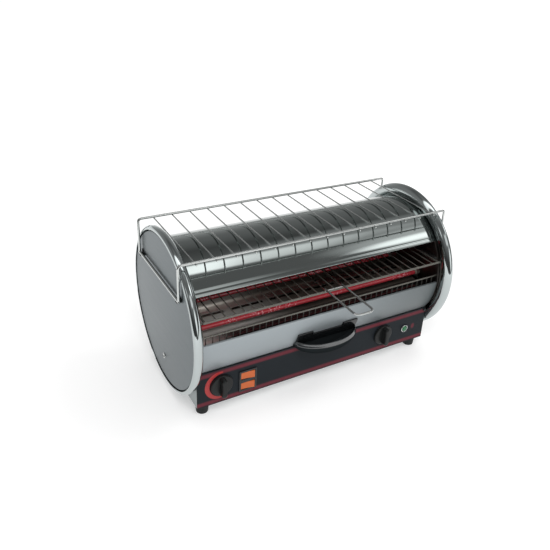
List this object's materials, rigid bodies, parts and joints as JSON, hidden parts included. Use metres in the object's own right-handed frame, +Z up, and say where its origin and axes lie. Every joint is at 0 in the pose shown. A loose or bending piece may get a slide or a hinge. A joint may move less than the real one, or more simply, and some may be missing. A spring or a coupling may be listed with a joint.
{
  "type": "drum toaster",
  "caption": "Counter-top drum toaster with quartz tubes, a pull-out wire grid, a crumb tray, a warming rack on top and controls on a low base.",
  "frame": {"origin": "on the ground, under the middle of the whole object's box, which reaches from the tip of the grid's bow to the back of the round ends", "axes": "+X to the right along the drum's axis as seen from the front, +Y to the back, +Z up"},
  "size_m": [0.6396, 0.4329, 0.366],
  "materials": {
    "polished_steel": "mirror polished",
    "satin_steel": "satin",
    "tray_front_steel": "fine brushed",
    "reflector_steel": "polished",
    "plain_steel": "mill",
    "wire_chrome": "bright chrome",
    "fascia_paint": "near black, semi gloss",
    "black_plastic": "gloss",
    "black_rubber": "matt",
    "orange_plastic": "satin",
    "green_plastic": "clear gloss",
    "quartz_glass": "red tinted, gloss",
    "white_ceramic": "matt white"
  },
  "bodies": {
    "drum": {"drum_cover": "polished_steel", "left_rim": "polished_steel", "right_rim": "polished_steel", "left_end_panel": "satin_steel", "right_end_panel": "satin_steel", "left_side_wall": "reflector_steel", "right_side_wall": "reflector_steel", "upper_reflector": "reflector_steel", "rear_reflector": "reflector_steel", "lower_reflector": "reflector_steel", "left_grid_runner": "plain_steel", "right_grid_runner": "plain_steel", "left_tray_guide": "plain_steel", "right_tray_guide": "plain_steel", "upper_left_tube_bracket": "plain_steel", "upper_right_tube_bracket": "plain_steel", "lower_left_tube_bracket": "plain_steel", "lower_right_tube_bracket": "plain_steel", "base_body": "plain_steel", "base_deck": "plain_steel", "upper_guard": "wire_chrome", "lower_guard": "wire_chrome", "lamp_bezel": "wire_chrome", "control_fascia": "fascia_paint", "switch_frame": "black_plastic", "switch_body": "black_plastic", "cable_gland": "black_plastic", "left_front_foot": "black_rubber", "left_rear_foot": "black_rubber", "right_front_foot": "black_rubber", "right_rear_foot": "black_rubber", "left_front_rack_rest": "black_rubber", "left_rear_rack_rest": "black_rubber", "right_front_rack_rest": "black_rubber", "right_rear_rack_rest": "black_rubber", "lamp_lens": "green_plastic", "upper_front_quartz_tube": "quartz_glass", "upper_middle_quartz_tube": "quartz_glass", "upper_rear_quartz_tube": "quartz_glass", "lower_front_quartz_tube": "quartz_glass", "lower_middle_quartz_tube": "quartz_glass", "lower_rear_quartz_tube": "quartz_glass", "timer_control_body": "white_ceramic", "heat_control_body": "white_ceramic", "terminal_block": "white_ceramic"},
    "grid": {"toasting_grid": "wire_chrome"},
    "tray": {"crumb_tray": "reflector_steel", "tray_front": "tray_front_steel", "tray_handle": "black_plastic"},
    "timer": {"timer_knob": "black_plastic", "timer_spindle": "plain_steel"},
    "heat": {"heat_knob": "black_plastic", "heat_spindle": "plain_steel"},
    "upper_switch": {"upper_rocker": "orange_plastic"},
    "lower_switch": {"lower_rocker": "orange_plastic"},
    "rack": {"warming_rack": "wire_chrome"}
  },
  "joints": [
    {"name": "grid_slide", "type": "slide", "parent": "drum", "child": "grid", "axis": [0, -1, 0], "range_m": [0, 0.2]},
    {"name": "tray_slide", "type": "slide", "parent": "drum", "child": "tray", "axis": [0, -1, 0], "range_m": [0, 0.21]},
    {"name": "timer_turn", "type": "hinge", "parent": "drum", "child": "timer", "pos_m": [-0.24, -0.08545, 0.0705], "axis": [0, 1, 0], "range_deg": [0, 180]},
    {"name": "heat_turn", "type": "hinge", "parent": "drum", "child": "heat", "pos_m": [0.167, -0.08545, 0.0705], "axis": [0, 1, 0], "range_deg": [0, 270]},
    {"name": "upper_rocker_tilt", "type": "hinge", "parent": "drum", "child": "upper_switch", "pos_m": [-0.1805, -0.08285, 0.07525], "axis": [0, 0, 1], "range_deg": [0, 16]},
    {"name": "lower_rocker_tilt", "type": "hinge", "parent": "drum", "child": "lower_switch", "pos_m": [-0.1805, -0.08285, 0.04975], "axis": [0, 0, 1], "range_deg": [0, 16]},
    {"name": "rack_lift", "type": "slide", "parent": "drum", "child": "rack", "axis": [0, 0, 1], "range_m": [0, 0.12]}
  ]
}
